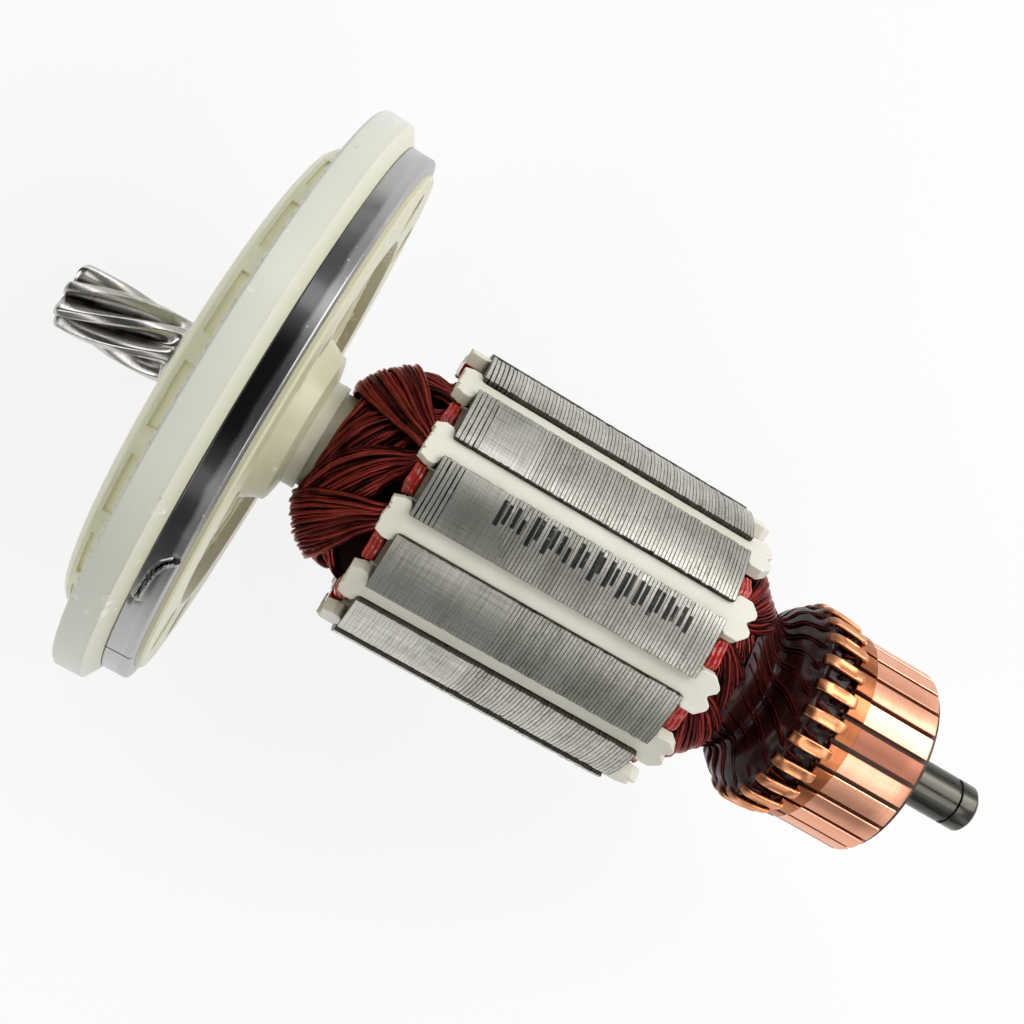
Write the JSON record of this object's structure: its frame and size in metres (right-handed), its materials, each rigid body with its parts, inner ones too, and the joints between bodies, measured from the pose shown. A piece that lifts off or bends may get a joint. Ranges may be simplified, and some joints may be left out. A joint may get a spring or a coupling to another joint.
{
  "type": "motor armature",
  "caption": "Wound motor armature: slotted laminated core, cut helical pinion, moulded fan with a steel balance ring, and a hook-type commutator.",
  "frame": {"origin": "on the shaft axis, in the middle of the drive-end bearing seat", "axes": "+X along the shaft from the pinion to the commutator end, +Z through the middle of a core tooth and of a commutator bar"},
  "size_m": [0.1405, 0.0808, 0.0808],
  "materials": {
    "shaft_steel": "ground and cut steel, oiled dark in the grooves",
    "core_steel": "bare electrical sheet, partly ground smooth",
    "white_moulding": "moulded insulation",
    "end_plate_board": "insulating board",
    "liner_film": "insulating film",
    "red_varnish": "thick glossy varnish over wire",
    "enamelled_wire": "copper wire under dark red enamel and varnish",
    "fan_plastic": "cream moulded plastic",
    "ring_steel": "rolled steel strip with a dark mirror-like face",
    "dark_resin": "dark trickle resin",
    "brown_moulding": "phenolic moulding",
    "bar_copper": "drawn copper, turned on the brush track"
  },
  "bodies": {
    "root": {"shaft": "shaft_steel", "shaft_sleeve": "white_moulding", "core_stack": "core_steel", "core_end_laminations": "core_steel", "end_plates": "end_plate_board", "slot_liners": "liner_film", "winding_saddles": "red_varnish", "fan": "fan_plastic", "balance_ring": "ring_steel", "resin_neck": "dark_resin", "commutator_moulding": "brown_moulding", "commutator_leads": "enamelled_wire", "coil_01": "enamelled_wire", "coil_02": "enamelled_wire", "coil_03": "enamelled_wire", "coil_04": "enamelled_wire", "coil_05": "enamelled_wire", "coil_06": "enamelled_wire", "coil_07": "enamelled_wire", "coil_08": "enamelled_wire", "coil_09": "enamelled_wire", "coil_10": "enamelled_wire", "coil_11": "enamelled_wire", "coil_12": "enamelled_wire", "slot_wedge_01": "white_moulding", "slot_wedge_02": "white_moulding", "slot_wedge_03": "white_moulding", "slot_wedge_04": "white_moulding", "slot_wedge_05": "white_moulding", "slot_wedge_06": "white_moulding", "slot_wedge_07": "white_moulding", "slot_wedge_08": "white_moulding", "slot_wedge_09": "white_moulding", "slot_wedge_10": "white_moulding", "slot_wedge_11": "white_moulding", "slot_wedge_12": "white_moulding", "commutator_bar_01": "bar_copper", "commutator_bar_02": "bar_copper", "commutator_bar_03": "bar_copper", "commutator_bar_04": "bar_copper", "commutator_bar_05": "bar_copper", "commutator_bar_06": "bar_copper", "commutator_bar_07": "bar_copper", "commutator_bar_08": "bar_copper", "commutator_bar_09": "bar_copper", "commutator_bar_10": "bar_copper", "commutator_bar_11": "bar_copper", "commutator_bar_12": "bar_copper", "commutator_bar_13": "bar_copper", "commutator_bar_14": "bar_copper", "commutator_bar_15": "bar_copper", "commutator_bar_16": "bar_copper", "commutator_bar_17": "bar_copper", "commutator_bar_18": "bar_copper", "commutator_bar_19": "bar_copper", "commutator_bar_20": "bar_copper", "commutator_bar_21": "bar_copper", "commutator_bar_22": "bar_copper", "commutator_bar_23": "bar_copper", "commutator_bar_24": "bar_copper"}
  },
  "joints": []
}
